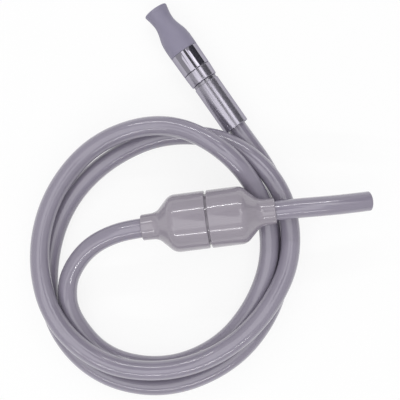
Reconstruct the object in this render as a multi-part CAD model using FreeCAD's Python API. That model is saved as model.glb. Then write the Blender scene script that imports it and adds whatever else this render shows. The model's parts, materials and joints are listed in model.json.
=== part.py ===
"""Saliva ejector hose set, laid down in loose loops: valve handpiece, hose, in-line strainer and tail hose.

Millimetres, +Z up.  The set lies on the plane Z = 0.  The origin is on that plane, under the middle
of the handpiece and the strainer housing.
"""

import FreeCAD, Part
import math
import os

V = FreeCAD.Vector

# ---- Hose ----------------------------------------------------------------------------------------
HOSE_R = 4.75             # outside radius of both hoses
HOSE_BORE_R = 3.2         # bore radius, cut where a barb or a nozzle goes in
HOSE_GAP = 0.1            # radial clearance of a collar round a hose
BARB_BODY_GAP = 0.03      # radial clearance of a barb in the bore
BARB_END_GAP = 0.1        # from a barb's end to the end of its bore
SEAT_GAP = 0.015          # between a hose's end and its seat
TAIL_BORE = 7.0           # depth of the bore shown at the bare end of the tail

# ---- Handpiece: lengths along its axis, from the mouth towards the hose ------------------------------
HEADING = -55.08          # degrees, of the direction from the mouth towards the hose
TIP_BORE_R = 3.25         # takes a 6.5 mm ejector tip
TIP_STOP = 1.05           # wall between the tip's bore and the nipple's socket
TIP_FLARE_LEN = 3.0
LIP_WALL = 0.92           # at the mouth
HOLDER_LEN = 25.0
HOLDER_R = 7.5            # radius of the holder's straight rear part
HOLDER_STRAIGHT = 3.0
HOLDER_OUTLINE = [        # from the mouth, in shares of the holder's length and radius
    (0.024, 0.8293), (0.144, 0.744), (0.276, 0.688), (0.384, 0.7173), (0.496, 0.8133), (0.616, 0.9333),
    (0.744, 0.9933),
]
HOLDER_LEAN = V(0.6, -0.1, 0)   # of the outline at the mouth
NIPPLE_R = 5.4            # the nipple that the holder is pushed onto
NIPPLE_LEN = 9.8
NIPPLE_GAP = 0.05
NIPPLE_NOSE = 1.0         # taper at the nipple's front
NIPPLE_TAPER = 0.6
FLOW_R = 2.6              # suction passage
FRONT_LEN = 11.0          # chromed front barrel
NECK_R = 5.3
NECK_LEN = 22.0
FRONT_R = NECK_R + 2.15
FRONT_REAR_R = NECK_R + 2.0
CHAMBER_R = 4.0           # bore behind the port wall
PORT_WALL_LEN = 2.0
PORT_WALL_IN = 1.0        # from the port wall to the front barrel's rear face
PORT_R = 1.3
PORT_OFFSET = CHAMBER_R - PORT_R - 0.4
PORT_WEB = (1.2, 2.4)     # width and height of the cut beside the rotor's port
VALVE_TURN = 90.0         # degrees between open and shut
RUN_GAP = 0.05            # radial clearance of turning pieces
END_GAP = 0.15            # end clearance of turning pieces
ROTOR_LEN = 9.0
ROTOR_SEAL = 2.6          # from the drive pin to each seal
RING_LEN = 6.5            # control ring
RING_REAR_R = NECK_R + 1.7
PIN_R = 0.75
PIN_IN = 0.9              # of the drive pin in the rotor
PIN_COVER = 0.35          # ring wall outside the pin
WASHER_LEN = 1.4
WASHER_WALL = 0.9
SLEEVE_R = NECK_R + 1.3
SLEEVE_LEN = 26.3
SLEEVE_WALL = 0.65
THREAD_GAP = 0.02         # radial clearance of the sleeve on the neck
EDGE = 0.35               # small edge radius on the metal pieces
SPIGOT_IN = 7.0           # of the swivel stem's spigot in the neck
STEM_SEAL = 2.5           # from the spigot's front end to its seal
STEM_FLANGE_LEN = 3.0
FLANGE_GAP = 0.35         # of the stem's flange in the sleeve
STEM_CONE = 0.85
BARB_LEN = 4.4
STEM_BORE_R = 2.2
BUSH_AT = 2.0             # from the stem's flange to the bush
BUSH_SUNK = 0.4           # of the bush in the sleeve's end
ORING_R = 0.5             # cord radius of the small O-rings
SEAL_GAP = 0.04           # of an O-ring in its groove and bore

# ---- Strainer housing: stations along its axis, from its middle ------------------------------------
FILTER_CENTRE = V(0.0, -45.5, 24.5)
FILTER_HEADING = 7.3      # degrees
FILTER_TILT = 4.0         # degrees, the outlet end is higher
BODY_R = 13.95
BODY_HALF = 17.3          # middle to the shoulder
SPOUT_FOOT = BODY_HALF + 7.3    # where the shoulder meets the spout
FILTER_HALF = SPOUT_FOOT + 7.6  # middle to the end of a spout
SEAM = 0.45               # half of the gap between the halves' rims
SPOUT_R = 6.2
SPOUT_DRAFT = 0.25
SHOULDER_ROUND = 6.0
FOOT_ROUND = 6.0
RIM_ROUND = 0.5
WALL = 1.6
SHOULDER_IN = 1.0         # of the chamber's shoulder before the outer one
WEB = 2.8                 # wall between a spout and the chamber
SPIGOT_LEN = 9.5          # the outlet half's spigot inside the inlet half
SPIGOT_WALL = 1.8
SPIGOT_ROOT = (2.0, 5.0)  # where the spigot joins the outlet half, behind its rim
SPIGOT_GAP = 0.05
LUG = (-4.4, -2.8)        # bayonet lugs along the axis
LUG_DEPTH = 0.75
LUG_ANGLE = 20.0
LUG_GAP = 0.1
LUG_SLACK = 1.0           # degrees, of a lug in its track
UNLOCK_TURN = 30.0        # degrees from locked to the lugs' way out
SEAL_AT = 2.5 - SPIGOT_LEN      # O-ring between the halves
SEAL_CORD_R = 0.7
CUP_GAP = 1.7             # between the strainer cup and the spigot
CUP_LEN = 22.0
CUP_WALL = 0.8
CUP_RIM = 1.4
CUP_SLOTS = 12
CUP_SLOT = 1.4            # slot width
CUP_SLOT_START = 2.5      # from the rim
CUP_SLOT_LEN = 14.0
BARB_FLANGE_R = 5.0
BARB_FLANGE = 1.2

# ---- Hose routes: points of the centrelines ---------------------------------------------------------
LONG_ROUTE = [
    (9.3, 7.05, 7.55), (16.5, -3.25, 7.55), (29.0, -19.5, 4.9), (37.8, -38.6, 4.9), (38.3, -63.8, 4.9),
    (32.5, -92.3, 4.9), (12.3, -118.0, 4.9), (-21.5, -131.6, 4.9), (-56.3, -124.1, 4.9),
    (-79.2, -97.3, 4.9), (-80.2, -63.8, 4.9), (-70.2, -35.8, 4.9), (-49.7, -15.1, 4.9),
    (-21.2, -2.6, 5.2), (11.7, -6.4, 14.9), (36.9, -29.8, 15.4), (42.2, -63.2, 14.8),
    (28.6, -91.6, 17.6), (7.0, -111.9, 14.5), (-21.1, -121.1, 14.9), (-52.4, -117.3, 15.0),
    (-76.7, -95.2, 16.6), (-84.4, -63.2, 14.6), (-76.4, -31.5, 13.2), (-54.3, -6.1, 11.2),
    (-20.3, 2.6, 17.2), (8.6, -11.8, 25.2), (27.1, -35.5, 14.9), (31.5, -63.3, 12.9),
    (23.0, -89.2, 8.2), (5.4, -110.4, 4.9), (-21.5, -120.8, 4.9), (-51.3, -115.5, 5.0),
    (-68.6, -94.3, 8.4), (-70.0, -78.2, 11.0), (-64.8, -66.9, 14.6), (-56.6, -58.1, 18.0),
    (-45.3, -52.4, 20.8), (-33.35, -49.77, 22.15), (-20.779, -48.162, 23.035),
]
TAIL_ROUTE = [
    (20.779, -42.838, 25.965), (39.78, -40.4, 27.31), (54.0, -39.3, 26.8), (66.5, -38.1, 24.8),
    (77.4, -36.8, 22.2),
]
ARC_SHARE = 0.45          # of the shorter run, taken by each corner's arc

X_AXIS = V(1, 0, 0)


# ---- Shapes about the local X axis ------------------------------------------------------------------
def turned(outline):
    """Solid of revolution about X from a closed outline of (station, radius) corners."""
    corners = [V(s, r, 0) for s, r in outline]
    face = Part.Face(Part.makePolygon(corners + corners[:1]))
    return face.revolve(V(0, 0, 0), X_AXIS, 360)


def tube(start, end, outer, inner=0.0):
    return turned([(start, inner), (start, outer), (end, outer), (end, inner)])


def rod(start, end, radius, offset=0.0, angle=0.0):
    """Cylinder parallel to X, off the axis by offset at an angle from +Z."""
    turn = math.radians(angle)
    foot = V(start, -offset * math.sin(turn), offset * math.cos(turn))
    return Part.makeCylinder(radius, end - start, foot, X_AXIS)


def ring(station, radius, cord_radius):
    return Part.makeTorus(radius, cord_radius, V(station, 0, 0), X_AXIS)


def sector(start, end, inner, outer, first, last):
    """Piece of a tube between two angles about X, measured from +Z."""
    corners = [V(start, 0, inner), V(start, 0, outer), V(end, 0, outer), V(end, 0, inner)]
    face = Part.Face(Part.makePolygon(corners + corners[:1]))
    face.rotate(V(0, 0, 0), X_AXIS, first)
    return face.revolve(V(0, 0, 0), X_AXIS, last - first)


def rounded(shape, radius, stations):
    """Rounds the full outer circles that lie at the given stations."""
    edges = []
    for station in stations:
        boxes = [(e.BoundBox, e) for e in shape.Edges]
        here = [(b.ZLength, e) for b, e in boxes if max(abs(b.XMin - station), abs(b.XMax - station)) < 0.01]
        edges.append(max(here, key=lambda pair: pair[0])[1])
    return shape.makeFillet(radius, edges)


def in_handpiece(shape):
    """Puts a piece on the handpiece's axis, with the hose's end on its seat."""
    turn = FreeCAD.Rotation(V(0, 0, 1), HEADING)
    mouth = V(*LONG_ROUTE[0]) - turn.multVec(V(hose_start() + SEAT_GAP, 0, 0))
    frame = FreeCAD.Placement(mouth, turn)
    shape.Placement = frame * shape.Placement
    return shape


def in_filter(shape):
    turn = FreeCAD.Rotation(V(0, 0, 1), FILTER_HEADING) * FreeCAD.Rotation(V(0, 1, 0), -FILTER_TILT)
    shape.Placement = FreeCAD.Placement(FILTER_CENTRE, turn) * shape.Placement
    return shape


# ---- Hoses --------------------------------------------------------------------------------------------
def route_wire(route):
    """Straight runs joined by tangent arcs, each as large as its two runs allow."""
    points = [V(*p) for p in route]
    edges, radii, at = [], [], points[0]
    for before, corner, after in zip(points, points[1:], points[2:]):
        back, ahead = before - corner, after - corner
        reach = ARC_SHARE * min(back.Length, ahead.Length)
        back.normalize()
        ahead.normalize()
        half_turn = (math.pi - back.getAngle(ahead)) / 2
        radius = reach / math.tan(half_turn)
        first, last = corner + back * reach, corner + ahead * reach
        middle = back + ahead
        middle.normalize()
        crown = corner + middle * (radius / math.cos(half_turn) - radius)
        edges.append(Part.LineSegment(at, first).toShape())
        edges.append(Part.Arc(first, crown, last).toShape())
        radii.append(radius)
        at = last
    edges.append(Part.LineSegment(at, points[-1]).toShape())
    return Part.Wire(edges), radii


def hose(name, route):
    wire, radii = route_wire(route)
    start, towards = V(*route[0]), V(*route[1]) - V(*route[0])
    section = Part.Wire(Part.makeCircle(HOSE_R, start, towards))
    solid = wire.makePipeShell([section], True, False)
    expected = math.pi * HOSE_R ** 2 * wire.Length
    print(f"{name}: length {wire.Length:.1f}, volume {solid.Volume:.0f} of {expected:.0f}")
    print(f"{name}: radii " + " ".join(f"{r:.0f}" for r in radii))
    return solid


def end_bore(end, inwards, depth):
    """Cutter for the bore at a hose's end."""
    inwards.normalize()
    return Part.makeCylinder(HOSE_BORE_R, depth + 1, end - inwards, inwards)


def long_hose():
    solid = hose("long_hose", LONG_ROUTE)
    first, second = V(*LONG_ROUTE[0]), V(*LONG_ROUTE[1])
    last, before = V(*LONG_ROUTE[-1]), V(*LONG_ROUTE[-2])
    solid = solid.cut(end_bore(first, second - first, BARB_LEN))
    return solid.cut(end_bore(last, before - last, BARB_LEN))


def tail_hose():
    solid = hose("tail_hose", TAIL_ROUTE)
    first, second = V(*TAIL_ROUTE[0]), V(*TAIL_ROUTE[1])
    last, before = V(*TAIL_ROUTE[-1]), V(*TAIL_ROUTE[-2])
    solid = solid.cut(end_bore(first, second - first, BARB_LEN))
    return solid.cut(end_bore(last, before - last, TAIL_BORE))


# ---- Handpiece ------------------------------------------------------------------------------------------
def front_end():
    """Rear face of the front barrel."""
    return HOLDER_LEN + FRONT_LEN


def neck_end():
    return front_end() + NECK_LEN


def port_wall_end():
    return front_end() - PORT_WALL_IN


def ring_start():
    return front_end() + END_GAP


def pin_station():
    return ring_start() + RING_LEN / 2


def washer_start():
    return ring_start() + RING_LEN + END_GAP


def sleeve_start():
    return washer_start() + WASHER_LEN


def sleeve_end():
    return sleeve_start() + SLEEVE_LEN


def stem_flange():
    return neck_end() + END_GAP


def hose_start():
    return stem_flange() + STEM_FLANGE_LEN + STEM_CONE


def rotor_seal_stations():
    return pin_station() - ROTOR_SEAL, pin_station() + ROTOR_SEAL


def swivel_seal_station():
    return neck_end() - SPIGOT_IN + STEM_SEAL


def tip_holder():
    """Soft holder for the ejector tip, with a flared mouth and a waist."""
    curve = Part.BSplineCurve()
    points = [V(s * HOLDER_LEN, r * HOLDER_R, 0) for s, r in HOLDER_OUTLINE]
    points.append(V(HOLDER_LEN - HOLDER_STRAIGHT, HOLDER_R, 0))
    curve.interpolate(points, InitialTangent=HOLDER_LEAN, FinalTangent=X_AXIS)
    flare = points[0] - V(0, LIP_WALL, 0)
    lip = V(0, (points[0].y + flare.y) / 2, 0)
    socket_r = NIPPLE_R + NIPPLE_GAP
    socket_end = HOLDER_LEN - NIPPLE_LEN - END_GAP
    bore_end = socket_end - TIP_STOP
    rest = [
        points[-1], V(HOLDER_LEN, HOLDER_R, 0), V(HOLDER_LEN, socket_r, 0),
        V(socket_end, socket_r, 0), V(socket_end, FLOW_R, 0),
        V(bore_end, FLOW_R, 0), V(bore_end, TIP_BORE_R, 0), V(TIP_FLARE_LEN, TIP_BORE_R, 0), flare,
    ]
    edges = [curve.toShape()]
    edges += [Part.LineSegment(a, b).toShape() for a, b in zip(rest, rest[1:])]
    edges.append(Part.Arc(rest[-1], lip, points[0]).toShape())
    return Part.Face(Part.Wire(edges)).revolve(V(0, 0, 0), X_AXIS, 360)


def valve_body():
    """Chromed body: nipple, front barrel, port wall and the neck that carries the rest."""
    nose = HOLDER_LEN - NIPPLE_LEN
    wall_start, wall_end = port_wall_end() - PORT_WALL_LEN, port_wall_end()
    body = turned([
        (nose, FLOW_R), (nose, NIPPLE_R - NIPPLE_TAPER), (nose + NIPPLE_NOSE, NIPPLE_R),
        (HOLDER_LEN, NIPPLE_R), (HOLDER_LEN, FRONT_R), (front_end(), FRONT_REAR_R), (front_end(), NECK_R), (neck_end(), NECK_R),
        (neck_end(), CHAMBER_R), (wall_end, CHAMBER_R), (wall_end, 0), (wall_start, 0), (wall_start, FLOW_R),
    ])
    body = body.cut(rod(wall_start - 1, wall_end + 1, PORT_R, PORT_OFFSET))
    slot_half = PIN_R + RUN_GAP
    slack = math.degrees(slot_half / CHAMBER_R)
    start, end = pin_station() - slot_half, pin_station() + slot_half
    slot = sector(start, end, CHAMBER_R - 1, NECK_R + 1, 180 - slack, 180 + VALVE_TURN + slack)
    return body.cut(slot)


def control_ring():
    start, end = ring_start(), ring_start() + RING_LEN
    inner = NECK_R + RUN_GAP
    body = turned([(start, inner), (start, FRONT_REAR_R), (end, RING_REAR_R), (end, inner)])
    body = rounded(body, EDGE, [start, end])
    return body.cut(drive_pin())


def drive_pin():
    """Radial pin that turns the rotor with the control ring; it points down at rest."""
    inner, outer = CHAMBER_R - PIN_IN, RING_REAR_R - PIN_COVER
    return Part.makeCylinder(PIN_R, outer - inner, V(pin_station(), 0, -inner), V(0, 0, -1))


def oring_groove(station, bottom, top):
    return tube(station - ORING_R, station + ORING_R, top + 1, bottom)


def valve_rotor():
    start = port_wall_end() + END_GAP
    radius = CHAMBER_R - RUN_GAP
    body = tube(start, start + ROTOR_LEN, radius)
    body = body.cut(rod(start - 1, start + ROTOR_LEN + 1, PORT_R, PORT_OFFSET))
    for station in rotor_seal_stations():
        body = body.cut(oring_groove(station, CHAMBER_R - 2 * ORING_R, radius))
    return body.cut(drive_pin()).cut(sliver_clear())


def sliver_clear():
    """Opens the port's wall at the seal grooves, so that no thin web is left."""
    width, height = PORT_WEB
    return Part.makeBox(ROTOR_LEN + 4, width, height, V(port_wall_end() - 1, -width / 2, PORT_OFFSET))


def rotor_oring(station):
    return ring(station, CHAMBER_R - ORING_R, ORING_R - SEAL_GAP)


def friction_washer():
    return tube(washer_start(), washer_start() + WASHER_LEN, NECK_R + WASHER_WALL, NECK_R + RUN_GAP)


def rear_sleeve():
    start, end, bore_r = sleeve_start(), sleeve_end(), SLEEVE_R - SLEEVE_WALL
    thread_r = NECK_R + THREAD_GAP
    body = turned([
        (start, thread_r), (start, SLEEVE_R), (end, SLEEVE_R), (end, bore_r), (neck_end(), bore_r),
        (neck_end(), thread_r),
    ])
    return rounded(body, EDGE, [start, end])


def end_bush():
    start = stem_flange() + STEM_FLANGE_LEN + BUSH_AT
    return tube(start, sleeve_end() - BUSH_SUNK, SLEEVE_R - SLEEVE_WALL, HOSE_R + HOSE_GAP)


def swivel_stem():
    """Stem that the hose is pushed onto; its spigot turns in the neck."""
    radius, barb_r = CHAMBER_R - RUN_GAP, HOSE_BORE_R - BARB_BODY_GAP
    front, flange, seat = neck_end() - SPIGOT_IN, stem_flange(), hose_start()
    flange_r = SLEEVE_R - SLEEVE_WALL - FLANGE_GAP
    end = seat + BARB_LEN - BARB_END_GAP
    body = turned([
        (front, STEM_BORE_R), (front, radius), (flange, radius), (flange, flange_r),
        (flange + STEM_FLANGE_LEN, flange_r), (seat, HOSE_R), (seat, barb_r), (end, barb_r),
        (end, STEM_BORE_R),
    ])
    return body.cut(oring_groove(swivel_seal_station(), CHAMBER_R - 2 * ORING_R, radius))


# ---- Strainer -----------------------------------------------------------------------------------------
def hose_seat():
    """Station at which each hose's end stops in its spout."""
    return (V(*TAIL_ROUTE[0]) - FILTER_CENTRE).Length - SEAT_GAP


def chamber_floor():
    return hose_seat() - WEB


def half_shell(side):
    """Housing half without its joint: side -1 is the inlet, +1 the outlet."""
    inner_r, socket_r = BODY_R - WALL, HOSE_R + HOSE_GAP
    seat, floor = hose_seat(), chamber_floor()
    shell = turned([
        (SEAM, inner_r), (SEAM, BODY_R), (BODY_HALF, BODY_R), (SPOUT_FOOT, SPOUT_R + SPOUT_DRAFT),
        (FILTER_HALF, SPOUT_R), (FILTER_HALF, socket_r), (seat, socket_r), (seat, HOSE_BORE_R),
        (floor, HOSE_BORE_R), (floor, BARB_FLANGE_R + HOSE_GAP), (BODY_HALF - SHOULDER_IN, inner_r),
    ])
    shell = rounded(shell, SHOULDER_ROUND, [BODY_HALF])
    shell = rounded(shell, FOOT_ROUND, [SPOUT_FOOT])
    shell = rounded(shell, RIM_ROUND, [SEAM, FILTER_HALF])
    if side < 0:
        shell.rotate(V(0, 0, 0), V(0, 0, 1), 180)
    return shell


def spigot_r():
    return BODY_R - WALL - SPIGOT_GAP


def lug(extra, first, last):
    """Bayonet lug, or with extra its track, between two angles."""
    outer = spigot_r() + LUG_DEPTH + extra
    return sector(LUG[0] - extra, LUG[1] + extra, BODY_R - WALL - 1, outer, first, last)


def inlet_half():
    shell = half_shell(-1)
    for start in (0, 180):
        out = start + UNLOCK_TURN
        track = lug(LUG_GAP, start - LUG_SLACK, out + LUG_ANGLE + LUG_SLACK)
        way_out = sector(LUG[0], 0, BODY_R - WALL - 1, spigot_r() + LUG_DEPTH + LUG_GAP,
                         out - LUG_SLACK, out + LUG_ANGLE + LUG_SLACK)
        shell = shell.cut(track).cut(way_out)
    return shell


def outlet_half():
    shell = half_shell(1)
    root, behind = (SEAM + depth for depth in SPIGOT_ROOT)
    bore_r = spigot_r() - SPIGOT_WALL
    spigot = turned([
        (-SPIGOT_LEN, bore_r), (-SPIGOT_LEN, spigot_r()), (root, spigot_r()), (root, BODY_R - WALL),
        (behind, BODY_R - WALL), (behind, bore_r),
    ])
    body = shell.fuse(spigot)
    for start in (0, 180):
        body = body.fuse(lug(0, start, start + LUG_ANGLE))
    groove_r = BODY_R - WALL - 2 * SEAL_CORD_R
    groove = tube(SEAL_AT - SEAL_CORD_R, SEAL_AT + SEAL_CORD_R, BODY_R, groove_r)
    return body.removeSplitter().cut(groove).removeSplitter()


def housing_oring():
    return ring(SEAL_AT, BODY_R - WALL - SEAL_CORD_R, SEAL_CORD_R - SEAL_GAP)


def strainer_cup():
    """Slotted cup whose rim is held against the end of the spigot."""
    rim_start, rim_end = -SPIGOT_LEN - CUP_RIM, -SPIGOT_LEN
    rim_r, outer = BODY_R - WALL - HOSE_GAP, spigot_r() - SPIGOT_WALL - CUP_GAP
    inner, end = outer - CUP_WALL, rim_start + CUP_LEN
    cup = turned([
        (rim_start, inner), (rim_start, rim_r), (rim_end, rim_r), (rim_end, outer), (end, outer), (end, 0),
        (end - CUP_WALL, 0), (end - CUP_WALL, inner),
    ])
    for i in range(CUP_SLOTS):
        foot = V(rim_end + CUP_SLOT_START, -CUP_SLOT / 2, inner / 2)
        slot = Part.makeBox(CUP_SLOT_LEN, CUP_SLOT, outer, foot)
        slot.rotate(V(0, 0, 0), X_AXIS, 360 * i / CUP_SLOTS)
        cup = cup.cut(slot)
    return cup


def barb(side):
    """Barb pressed through the wall between a spout and the chamber."""
    floor, radius = chamber_floor(), HOSE_BORE_R - BARB_BODY_GAP
    end = hose_seat() + BARB_LEN - BARB_END_GAP
    body = turned([
        (floor - BARB_FLANGE, STEM_BORE_R), (floor - BARB_FLANGE, BARB_FLANGE_R), (floor, BARB_FLANGE_R),
        (floor, radius), (end, radius), (end, STEM_BORE_R),
    ])
    if side < 0:
        body.rotate(V(0, 0, 0), V(0, 0, 1), 180)
    return body


# ---- The set ------------------------------------------------------------------------------------------
def build():
    front_seal, rear_seal = rotor_seal_stations()
    handpiece = {
        "tip_holder": tip_holder(),
        "valve_body": valve_body(),
        "control_ring": control_ring(),
        "valve_rotor": valve_rotor(),
        "rotor_oring_front": rotor_oring(front_seal),
        "rotor_oring_rear": rotor_oring(rear_seal),
        "drive_pin": drive_pin(),
        "friction_washer": friction_washer(),
        "rear_sleeve": rear_sleeve(),
        "end_bush": end_bush(),
        "swivel_stem": swivel_stem(),
        "swivel_oring": rotor_oring(swivel_seal_station()),
    }
    strainer = {
        "filter_inlet_half": inlet_half(),
        "filter_outlet_half": outlet_half(),
        "housing_oring": housing_oring(),
        "strainer_cup": strainer_cup(),
        "inlet_barb": barb(-1),
        "outlet_barb": barb(1),
    }
    nodes = {name: in_handpiece(shape) for name, shape in handpiece.items()}
    nodes.update({name: in_filter(shape) for name, shape in strainer.items()})
    nodes["long_hose"] = long_hose()
    nodes["tail_hose"] = tail_hose()
    return nodes


os.makedirs("parts", exist_ok=True)
for node, shape in build().items():
    shape.exportStep(f"parts/{node}.step")
    box = shape.BoundBox
    print(f"{node}: {len(shape.Solids)} solid, valid {shape.isValid()}, volume {shape.Volume:.1f}, "
          f"X {box.XMin:.2f} {box.XMax:.2f} Y {box.YMin:.2f} {box.YMax:.2f} Z {box.ZMin:.2f} {box.ZMax:.2f}")
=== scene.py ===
import json
import math

import bmesh
import bpy
from mathutils import Matrix, Vector


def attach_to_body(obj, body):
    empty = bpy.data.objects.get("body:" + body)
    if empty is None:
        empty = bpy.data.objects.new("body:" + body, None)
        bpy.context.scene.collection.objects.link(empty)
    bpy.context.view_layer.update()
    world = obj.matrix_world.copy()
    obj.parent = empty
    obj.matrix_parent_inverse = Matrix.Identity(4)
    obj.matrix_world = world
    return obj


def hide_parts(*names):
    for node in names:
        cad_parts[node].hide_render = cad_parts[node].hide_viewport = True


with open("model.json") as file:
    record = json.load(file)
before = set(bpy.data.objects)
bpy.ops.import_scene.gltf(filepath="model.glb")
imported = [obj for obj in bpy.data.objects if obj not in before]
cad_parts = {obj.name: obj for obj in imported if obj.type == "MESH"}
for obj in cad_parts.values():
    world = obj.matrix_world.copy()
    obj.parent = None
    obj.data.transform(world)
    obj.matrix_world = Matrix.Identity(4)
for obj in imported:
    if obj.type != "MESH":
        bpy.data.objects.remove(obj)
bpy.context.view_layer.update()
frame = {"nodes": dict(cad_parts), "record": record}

MM = 0.001

# ---- Hoses: control points of the centrelines, in metres ------------------------------------
LONG_ROUTE = [
    (0.0093, 0.00705, 0.00755), (0.0165, -0.00325, 0.00755), (0.029, -0.0195, 0.0049),
    (0.0378, -0.0386, 0.0049), (0.0383, -0.0638, 0.0049), (0.0325, -0.0923, 0.0049),
    (0.0123, -0.118, 0.0049), (-0.0215, -0.1316, 0.0049), (-0.0563, -0.1241, 0.0049),
    (-0.0792, -0.0973, 0.0049), (-0.0802, -0.0638, 0.0049), (-0.0702, -0.0358, 0.0049),
    (-0.0497, -0.0151, 0.0049), (-0.0212, -0.0026, 0.0052), (0.0117, -0.0064, 0.0149),
    (0.0369, -0.0298, 0.0154), (0.0422, -0.0632, 0.0148), (0.0286, -0.0916, 0.0176),
    (0.007, -0.1119, 0.0145), (-0.0211, -0.1211, 0.0149), (-0.0524, -0.1173, 0.015),
    (-0.0767, -0.0952, 0.0166), (-0.0844, -0.0632, 0.0146), (-0.0764, -0.0315, 0.0132),
    (-0.0543, -0.0061, 0.0112), (-0.0203, 0.0026, 0.0172), (0.0086, -0.0118, 0.0252),
    (0.0271, -0.0355, 0.0149), (0.0315, -0.0633, 0.0129), (0.023, -0.0892, 0.0082),
    (0.0054, -0.1104, 0.0049), (-0.0215, -0.1208, 0.0049), (-0.0513, -0.1155, 0.005),
    (-0.0686, -0.0943, 0.0084), (-0.07, -0.0782, 0.011), (-0.0648, -0.0669, 0.0146),
    (-0.0566, -0.0581, 0.018), (-0.0453, -0.0524, 0.0208), (-0.03335, -0.04977, 0.02215),
    (-0.020779, -0.048162, 0.023035),
]
TAIL_ROUTE = [
    (0.020779, -0.042838, 0.025965), (0.03978, -0.0404, 0.02731), (0.054, -0.0393, 0.0268),
    (0.0665, -0.0381, 0.0248), (0.0774, -0.0368, 0.0222),
]
HOSE_R = 4.75 * MM
HOSE_BORE_R = 3.2 * MM
CUT_EDGE = 0.25 * MM    # rounding of a hose's cut end

# ---- Where the two turned groups lie: their local X axis is the axis they are turned about ----
MOUTH = Vector((-0.0262, 0.0579, 0.00755))
HANDPIECE = Matrix.Translation(MOUTH) @ Matrix.Rotation(math.radians(-55.08), 4, "Z")
STRAINER = (
    Matrix.Translation((0.0, -0.0455, 0.0245))
    @ Matrix.Rotation(math.radians(7.3), 4, "Z")
    @ Matrix.Rotation(math.radians(-4.0), 4, "Y")
)
FLIP = Matrix.Rotation(math.pi, 4, "Z")

# ---- Clearances, in mm -----------------------------------------------------------------------
RUN_GAP = 0.05     # radial, between parts that turn or slide
END_GAP = 0.15     # end to end, between parts that turn
PRESS_GAP = 0.02   # between parts pressed home
SOCKET_R = 4.85    # of a socket that takes the hose

# ---- Handpiece: stations in mm from the mouth, radii in mm -----------------------------------
PASSAGE_R = 2.6
PORT_R = 1.3
CHAMBER_R = 4.0
PORT_WALL = (33.0, 35.0)

HOLDER_LEN = 25.0
HOLDER_R = 7.5
TIP_BORE_R = 3.25
TIP_SEAT = 14.0
# flared mouth, waist and swell of the soft holder, as (station, radius)
HOLDER_SKIN = [
    (0.6, 6.22), (3.6, 5.58), (6.9, 5.16), (9.6, 5.38), (12.4, 6.1), (15.4, 7.0), (18.6, 7.45),
    (21.0, HOLDER_R),
]
HOLDER_LIP = [(0.45, 5.35), (0.14, 5.6), (0.0, 5.82), (0.12, 6.05), (0.32, 6.17)]

NIPPLE_START = 15.2
NIPPLE_R = 5.4
GRIP_GROOVE = (18.0, 19.8)
GRIP_DEPTH = 0.25
GRIP_SLOPE = 0.2

BARREL_END = 36.0
BARREL_FRONT_R = 7.45
BARREL_BACK_R = 7.3
NECK_R = 5.3
NECK_END = 58.0

RING_START = BARREL_END + END_GAP
RING_END = RING_START + 6.5
RING_BACK_R = 7.0
WASHER_START = RING_END + END_GAP
WASHER_R = 6.2
SLEEVE_START = WASHER_START + 1.4
SLEEVE_END = 70.5
SLEEVE_R = 6.6
SLEEVE_BORE_R = 5.95
BUSH = (65.5, 70.1)

# ---- Strainer housing: stations in mm from the seam's middle, radii in mm ---------------------
RIM = 0.45            # half the seam between the two halves
BODY_R = 13.95
INSIDE_R = 12.35
SHOULDER = 17.3
FOOT = 24.6
FOOT_R = 6.45
SPOUT_END = 32.2
SPOUT_R = 6.2
BODY_ROUND = 6.0      # of the shoulder and of the foot
HOSE_SEAT = 20.985
SEAT_BORE_R = 3.2
CONE_TOP = (18.185, 5.1)
CONE_FOOT = 16.3
SPIGOT_START = 5.45
SPIGOT_END = -9.5
SPIGOT_BORE_R = 10.5
SPIGOT_R = INSIDE_R - RUN_GAP


# ---- Materials -------------------------------------------------------------------------------
NOISE_LOW, NOISE_HIGH = 0.3, 0.7            # nearly all of a noise lies between these
MIX_FIRST, MIX_SECOND, MIX_COLOUR = 6, 7, 2  # colour sockets of the mix node


class Nodes:
    """Small helper to build a material's node tree."""

    def __init__(self, name):
        self.material = bpy.data.materials.new(name)
        self.material.use_nodes = True
        self.tree = self.material.node_tree
        self.shader = self.tree.nodes["Principled BSDF"]

    def add(self, kind, **values):
        node = self.tree.nodes.new(kind)
        for key, value in values.items():
            setattr(node, key, value)
        return node

    def link(self, source, target):
        self.tree.links.new(source, target)

    def put(self, **values):
        """Set the shader's plain inputs, with _ for a space in the name."""
        for key, value in values.items():
            self.shader.inputs[key.replace("_", " ")].default_value = value

    def coordinates(self, kind, scale):
        source = self.add("ShaderNodeTexCoord")
        mapping = self.add("ShaderNodeMapping")
        mapping.inputs["Scale"].default_value = scale
        self.link(source.outputs[kind], mapping.inputs["Vector"])
        return mapping.outputs["Vector"]

    def noise(self, vector, scale, detail):
        node = self.add("ShaderNodeTexNoise")
        node.inputs["Scale"].default_value = scale
        node.inputs["Detail"].default_value = detail
        node.inputs["Roughness"].default_value = 0.55
        self.link(vector, node.inputs["Vector"])
        return node.outputs["Fac"]

    def span(self, value, low, high):
        """Spread a noise over the range from low to high."""
        node = self.add("ShaderNodeMapRange")
        node.inputs["From Min"].default_value = NOISE_LOW
        node.inputs["From Max"].default_value = NOISE_HIGH
        node.inputs["To Min"].default_value = low
        node.inputs["To Max"].default_value = high
        self.link(value, node.inputs["Value"])
        return node.outputs["Result"]

    def blend(self, value, first, second):
        node = self.add("ShaderNodeMix", data_type="RGBA")
        node.inputs[MIX_FIRST].default_value = (*first, 1)
        node.inputs[MIX_SECOND].default_value = (*second, 1)
        self.link(self.span(value, 0.0, 1.0), node.inputs[0])
        return node.outputs[MIX_COLOUR]

    def bump(self, height, distance, strength, below=None):
        node = self.add("ShaderNodeBump")
        node.inputs["Distance"].default_value = distance
        node.inputs["Strength"].default_value = strength
        self.link(height, node.inputs["Height"])
        if below is not None:
            self.link(below, node.inputs["Normal"])
        return node.outputs["Normal"]


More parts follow.
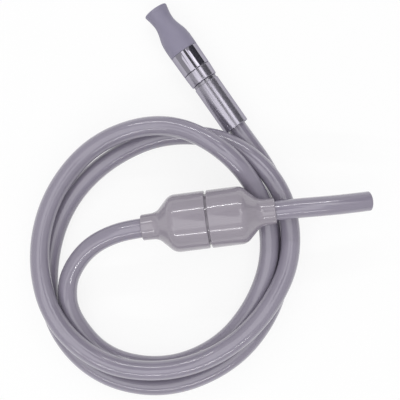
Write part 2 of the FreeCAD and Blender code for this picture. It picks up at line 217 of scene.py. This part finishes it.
def shades(colour, spread):
    """The colour a little darker and a little lighter."""
    return tuple(c * (1 - spread) for c in colour), tuple(min(c * (1 + spread), 1) for c in colour)


def moulded(name, colour, roughness, spread, grain, coat=0.0, along=None):
    """Plastic or rubber: soft colour clouds, uneven gloss and a fine moulded grain."""
    n = Nodes(name)
    where = n.coordinates("Object", (1, 1, 1))
    clouds = n.noise(where, scale=70, detail=3)
    n.link(n.blend(clouds, *shades(colour, spread)), n.shader.inputs["Base Color"])
    gloss = n.noise(where, scale=260, detail=4)
    n.link(n.span(gloss, roughness * 0.8, roughness * 1.25), n.shader.inputs["Roughness"])
    n.put(IOR=1.5, Coat_Weight=coat, Coat_Roughness=0.05)
    fine = n.noise(where, scale=2600, detail=2)
    normal = n.bump(fine, grain, 0.6)
    if along:
        streaks = n.noise(n.coordinates("UV", along), scale=1.0, detail=2)
        normal = n.bump(streaks, grain * 1.6, 0.7, normal)
    n.link(normal, n.shader.inputs["Normal"])
    return n.material


def turned_metal(name, colour, roughness, marks, depth, metallic=1.0):
    """Plated or turned metal: fine rings round the local X axis, and faint wipe marks."""
    n = Nodes(name)
    wipes = n.noise(n.coordinates("Object", (1, 1, 1)), scale=180, detail=4)
    n.link(n.blend(wipes, *shades(colour, 0.025)), n.shader.inputs["Base Color"])
    rings = n.noise(n.coordinates("Object", (marks, 12, 12)), scale=1.0, detail=3)
    smear = n.noise(n.coordinates("Object", (900, 160, 160)), scale=1.0, detail=3)
    n.link(n.span(smear, roughness * 0.9, roughness * 1.12), n.shader.inputs["Roughness"])
    n.put(Metallic=metallic, Specular_Tint=(0.6, 0.58, 0.64, 1))
    n.link(n.bump(rings, depth, 0.8), n.shader.inputs["Normal"])
    return n.material


HOUSE_GREY = (0.33, 0.3, 0.348)
HOSE_GREY = (0.277, 0.253, 0.32)
HOLDER_GREY = (0.258, 0.24, 0.326)
SATIN_CHROME = (0.43, 0.41, 0.475)
MATERIALS = {
    "hose_pvc": moulded("soft_pvc", HOSE_GREY, 0.14, spread=0.025, grain=0.000003, coat=0.8,
                        along=(36, 60, 1)),
    "housing_plastic": moulded("glossy_housing", HOUSE_GREY, 0.14, spread=0.02, grain=0.000002,
                               coat=0.45),
    "holder_rubber": moulded("silicone_holder", HOLDER_GREY, 0.5, spread=0.03, grain=0.00002),
    "inner_plastic": moulded("white_nylon", (0.62, 0.62, 0.64), 0.38, spread=0.03, grain=0.00001),
    "seal_rubber": moulded("black_rubber", (0.02, 0.02, 0.022), 0.5, spread=0.2, grain=0.00001),
    "steel": turned_metal("satin_steel", (0.34, 0.328, 0.37), 0.26, marks=5200, depth=0.000004),
}
BARREL_CHROME = turned_metal("barrel_chrome", (0.41, 0.39, 0.455), 0.06, marks=3000, depth=0.0000006)
RING_CHROME = turned_metal("ring_chrome", SATIN_CHROME, 0.2, marks=4200, depth=0.0000008,
                           metallic=0.88)
SLEEVE_CHROME = turned_metal("sleeve_chrome", SATIN_CHROME, 0.23, marks=5200, depth=0.0000008,
                             metallic=0.84)


# ---- Mesh helpers ----------------------------------------------------------------------------
def finish_mesh(name, verts, faces, place, uvs=None, sharp=40):
    """Object with faces that point outward, smooth but for edges past the sharp angle in degrees."""
    mesh = bpy.data.meshes.new(name)
    mesh.from_pydata(verts, [], faces)
    if uvs:
        layer = mesh.uv_layers.new(name="length_and_turn")
        for loop, uv in enumerate(uvs):
            layer.data[loop].uv = uv
    mesh.validate()
    shape = bmesh.new()
    shape.from_mesh(mesh)
    bmesh.ops.recalc_face_normals(shape, faces=shape.faces)
    shape.to_mesh(mesh)
    shape.free()
    mesh.shade_smooth()
    mesh.set_sharp_from_angle(angle=math.radians(sharp))
    piece = bpy.data.objects.new(name, mesh)
    bpy.context.collection.objects.link(piece)
    piece.matrix_world = place
    return piece


def arc_corner(before, corner, after, radius, steps=7):
    """Points of a rounding of that radius between two runs of an outline."""
    a, c, b = (Vector(p) for p in (before, corner, after))
    back, ahead = (a - c).normalized(), (b - c).normalized()
    half = back.angle(ahead) / 2
    reach = radius / math.tan(half)
    middle = c + (back + ahead).normalized() * (radius / math.sin(half))
    first, last = c + back * reach - middle, c + ahead * reach - middle
    whole = first.angle(last)
    points = []
    for i in range(steps + 1):
        t = i / steps
        spoke = (first * math.sin((1 - t) * whole) + last * math.sin(t * whole)) / math.sin(whole)
        points.append(tuple(middle + spoke))
    return points


def rounded_outline(corners):
    """Closed outline in mm from (station, radius) or (station, radius, rounding) corners."""
    outline = []
    for i, corner in enumerate(corners):
        rounding = corner[2] if len(corner) > 2 else 0
        if rounding:
            before, after = corners[i - 1][:2], corners[(i + 1) % len(corners)][:2]
            outline += arc_corner(before, corner[:2], after, rounding)
        else:
            outline.append(tuple(corner[:2]))
    return outline


def eased(points, steps=6):
    """Smooth line through the points (Catmull-Rom)."""
    line = []
    for i in range(len(points) - 1):
        p = [Vector(points[min(max(k, 0), len(points) - 1)]) for k in (i - 1, i, i + 1, i + 2)]
        for j in range(steps):
            t = j / steps
            line.append(tuple(0.5 * (
                2 * p[1] + (p[2] - p[0]) * t + (2 * p[0] - 5 * p[1] + 4 * p[2] - p[3]) * t ** 2
                + (3 * p[1] - p[0] - 3 * p[2] + p[3]) * t ** 3
            )))
    line.append(tuple(points[-1]))
    return line


def lathe(name, outline, place, turns=128):
    """Solid of revolution about the local X axis, from a closed outline in mm."""
    count = len(outline)
    verts, faces = [], []
    for i in range(turns):
        angle = math.tau * i / turns
        for station, radius in outline:
            verts.append((station * MM, radius * MM * math.sin(angle), radius * MM * math.cos(angle)))
    for i in range(turns):
        here, there = i * count, (i + 1) % turns * count
        for j in range(count):
            k = (j + 1) % count
            faces.append((here + j, here + k, there + k, there + j))
    return finish_mesh(name, verts, faces, place)


def attach(piece, body, material, slot, *nodes):
    """Give the piece its finish and body, and hide the CAD nodes it stands for."""
    piece.data.materials.clear()
    piece.data.materials.append(material)
    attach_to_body(piece, body)
    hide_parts(*nodes)
    return piece


def route_points(name, route):
    """Points read from the smooth spline whose control points are the route."""
    curve = bpy.data.curves.new(name, "CURVE")
    curve.dimensions = "3D"
    spline = curve.splines.new("NURBS")
    spline.points.add(len(route) - 1)
    for point, place in zip(spline.points, route):
        point.co = (*place, 1)
    spline.order_u = 3
    spline.use_endpoint_u = True
    spline.resolution_u = 14
    holder = bpy.data.objects.new(name, curve)
    line = bpy.data.meshes.new_from_object(holder)
    points = [v.co.copy() for v in line.vertices]
    bpy.data.objects.remove(holder)
    bpy.data.curves.remove(curve)
    bpy.data.meshes.remove(line)
    return points


def frames_along(points):
    """Point, two sideways directions, tangent and distance gone, at each point of a line."""
    last = len(points) - 1
    tangents = []
    for i in range(last + 1):
        tangents.append((points[min(i + 1, last)] - points[max(i - 1, 0)]).normalized())
    side = tangents[0].cross(Vector((0, 0, 1))).normalized()
    travelled = 0.0
    frames = []
    for i, (point, tangent) in enumerate(zip(points, tangents)):
        if i:
            side = tangents[i - 1].rotation_difference(tangent) @ side
            travelled += (point - points[i - 1]).length
        frames.append((point, side.copy(), tangent.cross(side), tangent, travelled))
    return frames


def hollow_tube(name, points, outer, bore, sides=48):
    """Hose along the points: an outer skin, a bore, and ends with a small rounding."""
    frames = frames_along(points)
    start, end = frames[0], frames[-1]
    # rings of the skin from start to end, then of the bore back to the start
    loops = [(start, outer - CUT_EDGE, 0.0), (start, outer, CUT_EDGE)]
    loops += [(between, outer, 0.0) for between in frames[1:-1]]
    loops += [(end, outer, -CUT_EDGE), (end, outer - CUT_EDGE, 0.0)]
    loops += [(end, bore + CUT_EDGE, 0.0), (end, bore, -CUT_EDGE)]
    loops += [(between, bore, 0.0) for between in reversed(frames[1:-1])]
    loops += [(start, bore, CUT_EDGE), (start, bore + CUT_EDGE, 0.0)]
    verts, faces, uvs = [], [], []
    for (point, side, up, tangent, _), radius, shift in loops:
        for k in range(sides):
            angle = math.tau * k / sides
            spoke = side * math.cos(angle) + up * math.sin(angle)
            verts.append(point + tangent * shift + spoke * radius)
    for i in range(len(loops)):
        j = (i + 1) % len(loops)
        low, high = loops[i][0][4], loops[j][0][4]
        for k in range(sides):
            m = (k + 1) % sides
            near, far = k / sides, (k + 1) / sides
            faces.append((i * sides + k, i * sides + m, j * sides + m, j * sides + k))
            uvs += [(near, low), (far, low), (far, high), (near, high)]
    return finish_mesh(name, verts, faces, Matrix.Identity(4), uvs)


# ---- Hoses -----------------------------------------------------------------------------------
long_points = route_points("long_line", LONG_ROUTE)
long_hose = hollow_tube("supply_hose", long_points, HOSE_R, HOSE_BORE_R)
attach(long_hose, "root", MATERIALS["hose_pvc"], "hose_pvc", "long_hose")

tail_points = route_points("tail_line", TAIL_ROUTE)
tail_hose = hollow_tube("outlet_hose", tail_points, HOSE_R, HOSE_BORE_R)
attach(tail_hose, "root", MATERIALS["hose_pvc"], "hose_pvc", "tail_hose")


# ---- Handpiece -------------------------------------------------------------------------------
def holder_outline():
    """Flared soft holder, with a bore for the tip and a wider one for the nipple."""
    bore = NIPPLE_R + RUN_GAP
    stop = NIPPLE_START - END_GAP
    inside = rounded_outline([
        (HOLDER_LEN - 2.5, HOLDER_R), (HOLDER_LEN, HOLDER_R, 0.25), (HOLDER_LEN, bore), (stop, bore),
        (stop, PASSAGE_R), (TIP_SEAT, PASSAGE_R, 0.2), (TIP_SEAT, TIP_BORE_R, 0.2),
        (3.0, TIP_BORE_R, 1.5), (0.9, 5.1),
    ])
    return eased(HOLDER_SKIN) + inside + HOLDER_LIP


def barrel_outline():
    """Nipple with a grip groove, barrel, port wall, and the neck that carries the rest."""
    front = HOLDER_LEN + PRESS_GAP
    start, end = GRIP_GROOVE
    return rounded_outline([
        (NIPPLE_START, PASSAGE_R), (NIPPLE_START, 4.8, 0.3), (NIPPLE_START + 1.2, NIPPLE_R, 0.5),
        (start, NIPPLE_R), (start + GRIP_SLOPE, NIPPLE_R - GRIP_DEPTH),
        (end - GRIP_SLOPE, NIPPLE_R - GRIP_DEPTH), (end, NIPPLE_R),
        (front, NIPPLE_R), (front, BARREL_FRONT_R, 0.22), (BARREL_END, BARREL_BACK_R, 0.22),
        (BARREL_END, NECK_R), (NECK_END, NECK_R, 0.2), (NECK_END, CHAMBER_R),
        (PORT_WALL[1], CHAMBER_R), (PORT_WALL[1], PORT_R), (PORT_WALL[0], PORT_R),
        (PORT_WALL[0], PASSAGE_R),
    ])


def ring_outline():
    bore = NECK_R + RUN_GAP
    return rounded_outline([
        (RING_START, bore), (RING_START, BARREL_BACK_R, 0.3), (RING_END, RING_BACK_R, 0.35),
        (RING_END, bore),
    ])


def washer_outline():
    bore = NECK_R + RUN_GAP
    return rounded_outline([
        (WASHER_START, bore), (WASHER_START, WASHER_R, 0.15), (SLEEVE_START, WASHER_R),
        (SLEEVE_START, bore),
    ])


def sleeve_outline():
    """Sleeve pressed on the neck, open at the back for the hose and its bush."""
    bore = NECK_R + PRESS_GAP
    return rounded_outline([
        (SLEEVE_START, bore), (SLEEVE_START, SLEEVE_R, 0.35), (SLEEVE_END, SLEEVE_R, 0.35),
        (SLEEVE_END, SLEEVE_BORE_R), (NECK_END, SLEEVE_BORE_R), (NECK_END, bore),
    ])


def bush_outline():
    return rounded_outline([
        (BUSH[0], SOCKET_R), (BUSH[0], SLEEVE_BORE_R), (BUSH[1], SLEEVE_BORE_R, 0.15),
        (BUSH[1], SOCKET_R, 0.4),
    ])


def turned_piece(name, outline, place, body, material, slot, node):
    attach(lathe(name, outline, place), body, material, slot, node)


turned_piece("soft_tip_holder", holder_outline(), HANDPIECE, "holder", MATERIALS["holder_rubber"],
             "holder_rubber", "tip_holder")
turned_piece("front_barrel", barrel_outline(), HANDPIECE, "handpiece", BARREL_CHROME, "chrome",
             "valve_body")
turned_piece("turning_ring", ring_outline(), HANDPIECE, "valve", RING_CHROME, "chrome",
             "control_ring")
turned_piece("groove_washer", washer_outline(), HANDPIECE, "handpiece", MATERIALS["steel"], "steel",
             "friction_washer")
turned_piece("grip_sleeve", sleeve_outline(), HANDPIECE, "handpiece", SLEEVE_CHROME, "chrome",
             "rear_sleeve")
turned_piece("hose_bush", bush_outline(), HANDPIECE, "handpiece", MATERIALS["inner_plastic"],
             "inner_plastic", "end_bush")

# ---- Strainer housing ------------------------------------------------------------------------
SHELL = [
    (RIM, INSIDE_R), (RIM, BODY_R, 0.5), (SHOULDER, BODY_R, BODY_ROUND), (FOOT, FOOT_R, BODY_ROUND),
    (SPOUT_END, SPOUT_R, 0.5), (SPOUT_END, SOCKET_R, 0.25), (HOSE_SEAT, SOCKET_R),
    (HOSE_SEAT, SEAT_BORE_R), (CONE_TOP[0], SEAT_BORE_R), CONE_TOP, (CONE_FOOT, INSIDE_R),
]
SPIGOT = [
    (SPIGOT_START, INSIDE_R), (SPIGOT_START, SPIGOT_BORE_R), (SPIGOT_END, SPIGOT_BORE_R),
    (SPIGOT_END, SPIGOT_R, 0.2), (RIM, SPIGOT_R),
]
turned_piece("inlet_housing", rounded_outline(SHELL), STRAINER @ FLIP, "root",
             MATERIALS["housing_plastic"], "housing_plastic", "filter_inlet_half")
turned_piece("outlet_housing", rounded_outline(SHELL[1:] + SPIGOT), STRAINER, "outlet",
             MATERIALS["housing_plastic"], "housing_plastic", "filter_outlet_half")

# ---- Inner pieces kept as they are, with their finishes ---------------------------------------
SLOTS = {entry["node"]: entry["material_slot"] for entry in frame["record"]["subparts"]}
KEPT = [
    "valve_rotor", "rotor_oring_front", "rotor_oring_rear", "drive_pin", "swivel_stem", "swivel_oring",
    "housing_oring", "strainer_cup", "inlet_barb", "outlet_barb",
]
for node in KEPT:
    for place in frame["nodes"][node].material_slots:
        place.material = MATERIALS[SLOTS[node]]


# ---- Studio ----------------------------------------------------------------------------------
def matt(name, colour):
    """Node helper of a surface with no shine."""
    n = Nodes(name)
    n.put(Base_Color=(*colour, 1), Roughness=0.9, Specular_IOR_Level=0.0)
    return n


def emitting_white(name, own, glow):
    """White surface that keeps shadows but is seen near full white."""
    n = matt(name, (own, own, own))
    path = n.add("ShaderNodeLightPath")
    seen = path.outputs["Is Camera Ray"]
    for ray in ("Is Glossy Ray", "Is Transmission Ray"):
        either = n.add("ShaderNodeMath", operation="MAXIMUM")
        n.link(seen, either.inputs[0])
        n.link(path.outputs[ray], either.inputs[1])
        seen = either.outputs[0]
    share = n.add("ShaderNodeMath", operation="MULTIPLY")
    share.inputs[1].default_value = glow
    n.link(seen, share.inputs[0])
    white = n.add("ShaderNodeEmission")
    white.inputs["Strength"].default_value = 1.0
    mix = n.add("ShaderNodeMixShader")
    n.link(share.outputs[0], mix.inputs[0])
    n.link(n.shader.outputs[0], mix.inputs[1])
    n.link(white.outputs[0], mix.inputs[2])
    n.link(mix.outputs[0], n.tree.nodes["Material Output"].inputs["Surface"])
    return n.material


def card(name, corners, material):
    """Flat four-cornered sheet that belongs to the studio."""
    mesh = bpy.data.meshes.new(name)
    mesh.from_pydata(corners, [], [(0, 1, 2, 3)])
    piece = bpy.data.objects.new(name, mesh)
    bpy.context.collection.objects.link(piece)
    mesh.materials.append(material)
    return piece


FAR = 4.0    # half the floor's width, in metres
card("floor", [(-FAR, -FAR, 0), (FAR, -FAR, 0), (FAR, FAR, 0), (-FAR, FAR, 0)],
     emitting_white("floor_white", 0.95, 0.86))

ACROSS = Vector((0.82, 0.572, 0))    # level direction across the handpiece
ALONG = Vector((-0.572, 0.82, 0))    # and along it


def reflected_card(name, middle, half_first, half_second, colour):
    """Card round the middle, seen only in reflections."""
    corners = [
        middle - half_first - half_second, middle - half_first + half_second,
        middle + half_first + half_second, middle + half_first - half_second,
    ]
    card(name, corners, matt(name + "_cloth", colour).material).visible_camera = False


HOOD_MIDDLE = Vector((-0.018, 0.07, 0.48))
reflected_card("camera_hood", HOOD_MIDDLE, ALONG * 0.12, ACROSS * 0.078, (0.2, 0.2, 0.2))

FLAG_FOOT = ACROSS * 0.62 + Vector((-0.02, 0.02, 0.002))
FLAG_HALF_HEIGHT = Vector((0, 0, 0.425))
reflected_card("dark_flag", FLAG_FOOT + FLAG_HALF_HEIGHT, FLAG_HALF_HEIGHT, ALONG * 0.2,
               (0.09, 0.09, 0.099))


def area(name, place, aim, width, depth, radiance):
    """Rectangular lamp that faces the aim and looks equally bright at any size."""
    light = bpy.data.lights.new(name, "AREA")
    light.shape = "RECTANGLE"
    light.size = width
    light.size_y = depth
    light.energy = math.pi * width * depth * radiance
    lamp = bpy.data.objects.new(name, light)
    bpy.context.collection.objects.link(lamp)
    lamp.location = place
    lamp.rotation_euler = (Vector(aim) - Vector(place)).to_track_quat("-Z", "Y").to_euler()
    lamp.visible_camera = False
    return lamp


def level_panel(name, distance, height, width, depth, radiance):
    """Lamp that faces straight down, off to one side of the handpiece and turned with it."""
    below = ACROSS * distance
    lamp = area(name, below + Vector((0, 0, height)), below, width, depth, radiance)
    lamp.rotation_euler = (0, 0, math.atan2(ACROSS.y, ACROSS.x))


CENTRE = (0.0, -0.04, 0.01)
area("ceiling", (-0.08, -0.08, 1.0), (-0.08, -0.08, 0), 0.95, 0.95, 1.06)
level_panel("streak", 0.57, 0.98, 0.28, 0.5, 1.5)
level_panel("side_panel", -0.88, 0.99, 0.46, 0.55, 0.95)
area("strip_back", (-0.1, 1.07, 1.0), CENTRE, 1.5, 0.03, 36)
area("strip_front", (-0.1, -1.15, 1.0), CENTRE, 1.5, 0.03, 30)

ROOM_LIGHT = 0.56    # of the white world, but 1 where the camera sees it
world = bpy.data.worlds.new("studio_world")
world.use_nodes = True
bpy.context.scene.world = world
tree = world.node_tree
sky = tree.nodes["Background"]
sky.inputs["Color"].default_value = (1, 1, 1, 1)
path = tree.nodes.new("ShaderNodeLightPath")
level = tree.nodes.new("ShaderNodeMapRange")
level.inputs["To Min"].default_value = ROOM_LIGHT
level.inputs["To Max"].default_value = 1.0
tree.links.new(path.outputs["Is Camera Ray"], level.inputs["Value"])
tree.links.new(level.outputs["Result"], sky.inputs["Strength"])

# ---- Camera: straight above, looking down ------------------------------------------------------
VIEW_HALF = 0.1          # half the width seen at VIEW_DISTANCE, in metres
VIEW_DISTANCE = 0.445
lens = bpy.data.cameras.new("camera")
lens.sensor_width = 36
lens.angle = 2 * math.atan(VIEW_HALF / VIEW_DISTANCE)
lens.clip_start = 0.01
lens.clip_end = 20
camera = bpy.data.objects.new("camera", lens)
bpy.context.collection.objects.link(camera)
camera.location = (-0.004, -0.0363, 0.45)
bpy.context.scene.camera = camera
bpy.context.scene.view_settings.view_transform = "Standard"
